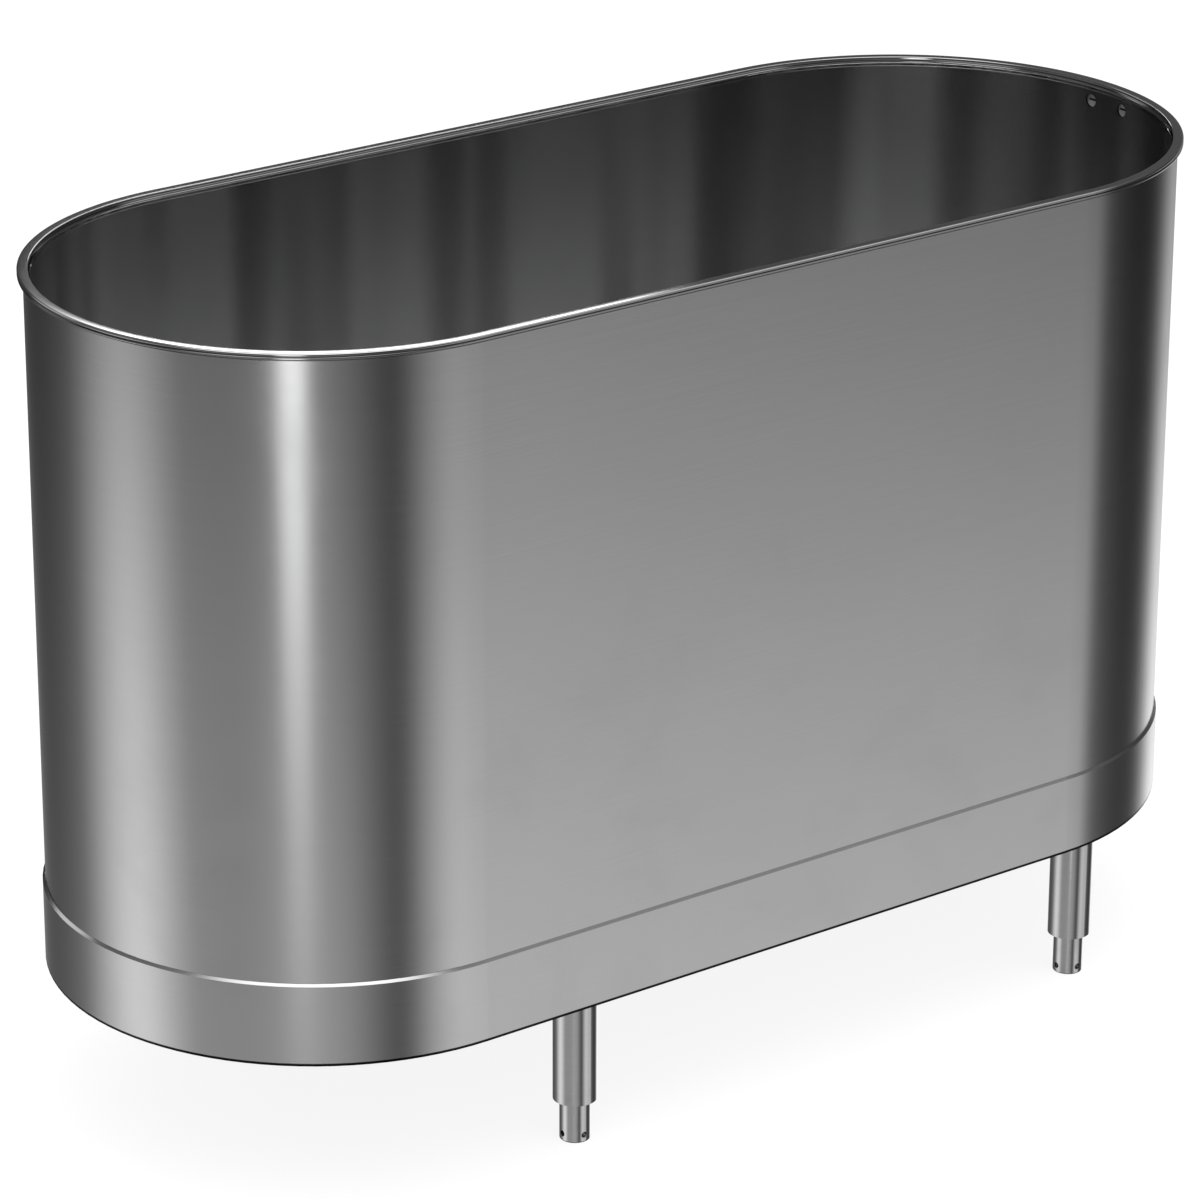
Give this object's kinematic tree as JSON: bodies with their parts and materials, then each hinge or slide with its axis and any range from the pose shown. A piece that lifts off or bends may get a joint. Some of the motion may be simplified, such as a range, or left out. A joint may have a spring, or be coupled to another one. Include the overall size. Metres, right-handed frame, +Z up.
{
  "type": "bulk milk tank",
  "caption": "Open-topped oblong stainless tank with round ends, a rolled rim and a base band, on short round legs with screw-adjustable feet.",
  "frame": {"origin": "on the floor under the middle of the tank, with the feet at their middle setting", "axes": "+X along the tank towards the service end with the ports and the outlet, +Y to the rear, +Z up"},
  "size_m": [1.418, 0.612, 0.951],
  "materials": {
    "wall_steel": "satin",
    "rim_steel": "satin",
    "band_steel": "satin",
    "floor_steel": "satin",
    "inner_steel": "matte",
    "foam": "matte",
    "copper_line": "satin",
    "brass_cap": "satin",
    "seal_rubber": "matte",
    "leg_steel": "satin",
    "foot_steel": "satin",
    "turned_steel": "satin",
    "fastener_steel": "satin",
    "port_steel": "satin",
    "outlet_steel": "satin",
    "lever_steel": "satin",
    "cap_steel": "satin"
  },
  "bodies": {
    "tank": {"front_wall": "wall_steel", "rear_wall": "wall_steel", "left_end_wall": "wall_steel", "right_end_wall": "wall_steel", "rim_ring": "rim_steel", "rim_bead": "rim_steel", "base_band": "band_steel", "floor_pan": "floor_steel", "drain_sump": "floor_steel", "bottom_plate": "floor_steel", "cooling_plate": "inner_steel", "left_cross_beam": "inner_steel", "right_cross_beam": "inner_steel", "floor_insulation": "foam", "suction_line": "copper_line", "liquid_line": "copper_line", "line_caps": "brass_cap", "line_grommets": "seal_rubber", "valve_seat": "seal_rubber", "front_left_leg_tube": "leg_steel", "front_left_leg_socket": "inner_steel", "front_left_leg_insert": "turned_steel", "front_right_leg_tube": "leg_steel", "front_right_leg_socket": "inner_steel", "front_right_leg_insert": "turned_steel", "rear_left_leg_tube": "leg_steel", "rear_left_leg_socket": "inner_steel", "rear_left_leg_insert": "turned_steel", "rear_right_leg_tube": "leg_steel", "rear_right_leg_socket": "inner_steel", "rear_right_leg_insert": "turned_steel", "leg_grub_screws": "fastener_steel", "valve_bolts": "fastener_steel", "port_bosses": "port_steel", "port_plugs": "port_steel", "outlet_pipe": "outlet_steel", "valve_inlet_half": "outlet_steel", "valve_outlet_half": "outlet_steel"},
    "front_left_foot_screw": {"front_left_foot": "foot_steel", "front_left_foot_stem": "turned_steel"},
    "front_right_foot_screw": {"front_right_foot": "foot_steel", "front_right_foot_stem": "turned_steel"},
    "rear_left_foot_screw": {"rear_left_foot": "foot_steel", "rear_left_foot_stem": "turned_steel"},
    "rear_right_foot_screw": {"rear_right_foot": "foot_steel", "rear_right_foot_stem": "turned_steel"},
    "valve_spindle": {"valve_disc": "turned_steel", "valve_lever": "lever_steel", "lever_screw": "fastener_steel"},
    "outlet_cap": {"outlet_cap": "cap_steel", "cap_gasket": "seal_rubber"}
  },
  "joints": [
    {"name": "front_left_foot_height", "type": "slide", "parent": "tank", "child": "front_left_foot_screw", "axis": [0, 0, -1], "range_m": [-0.025, 0.025]},
    {"name": "front_right_foot_height", "type": "slide", "parent": "tank", "child": "front_right_foot_screw", "axis": [0, 0, -1], "range_m": [-0.025, 0.025]},
    {"name": "rear_left_foot_height", "type": "slide", "parent": "tank", "child": "rear_left_foot_screw", "axis": [0, 0, -1], "range_m": [-0.025, 0.025]},
    {"name": "rear_right_foot_height", "type": "slide", "parent": "tank", "child": "rear_right_foot_screw", "axis": [0, 0, -1], "range_m": [-0.025, 0.025]},
    {"name": "valve_turn", "type": "hinge", "parent": "tank", "child": "valve_spindle", "pos_m": [0.634, 0, 0.106], "axis": [0, 0, -1], "range_deg": [0, 90]},
    {"name": "cap_pull", "type": "slide", "parent": "tank", "child": "outlet_cap", "axis": [1, 0, 0], "range_m": [0, 0.06]}
  ]
}
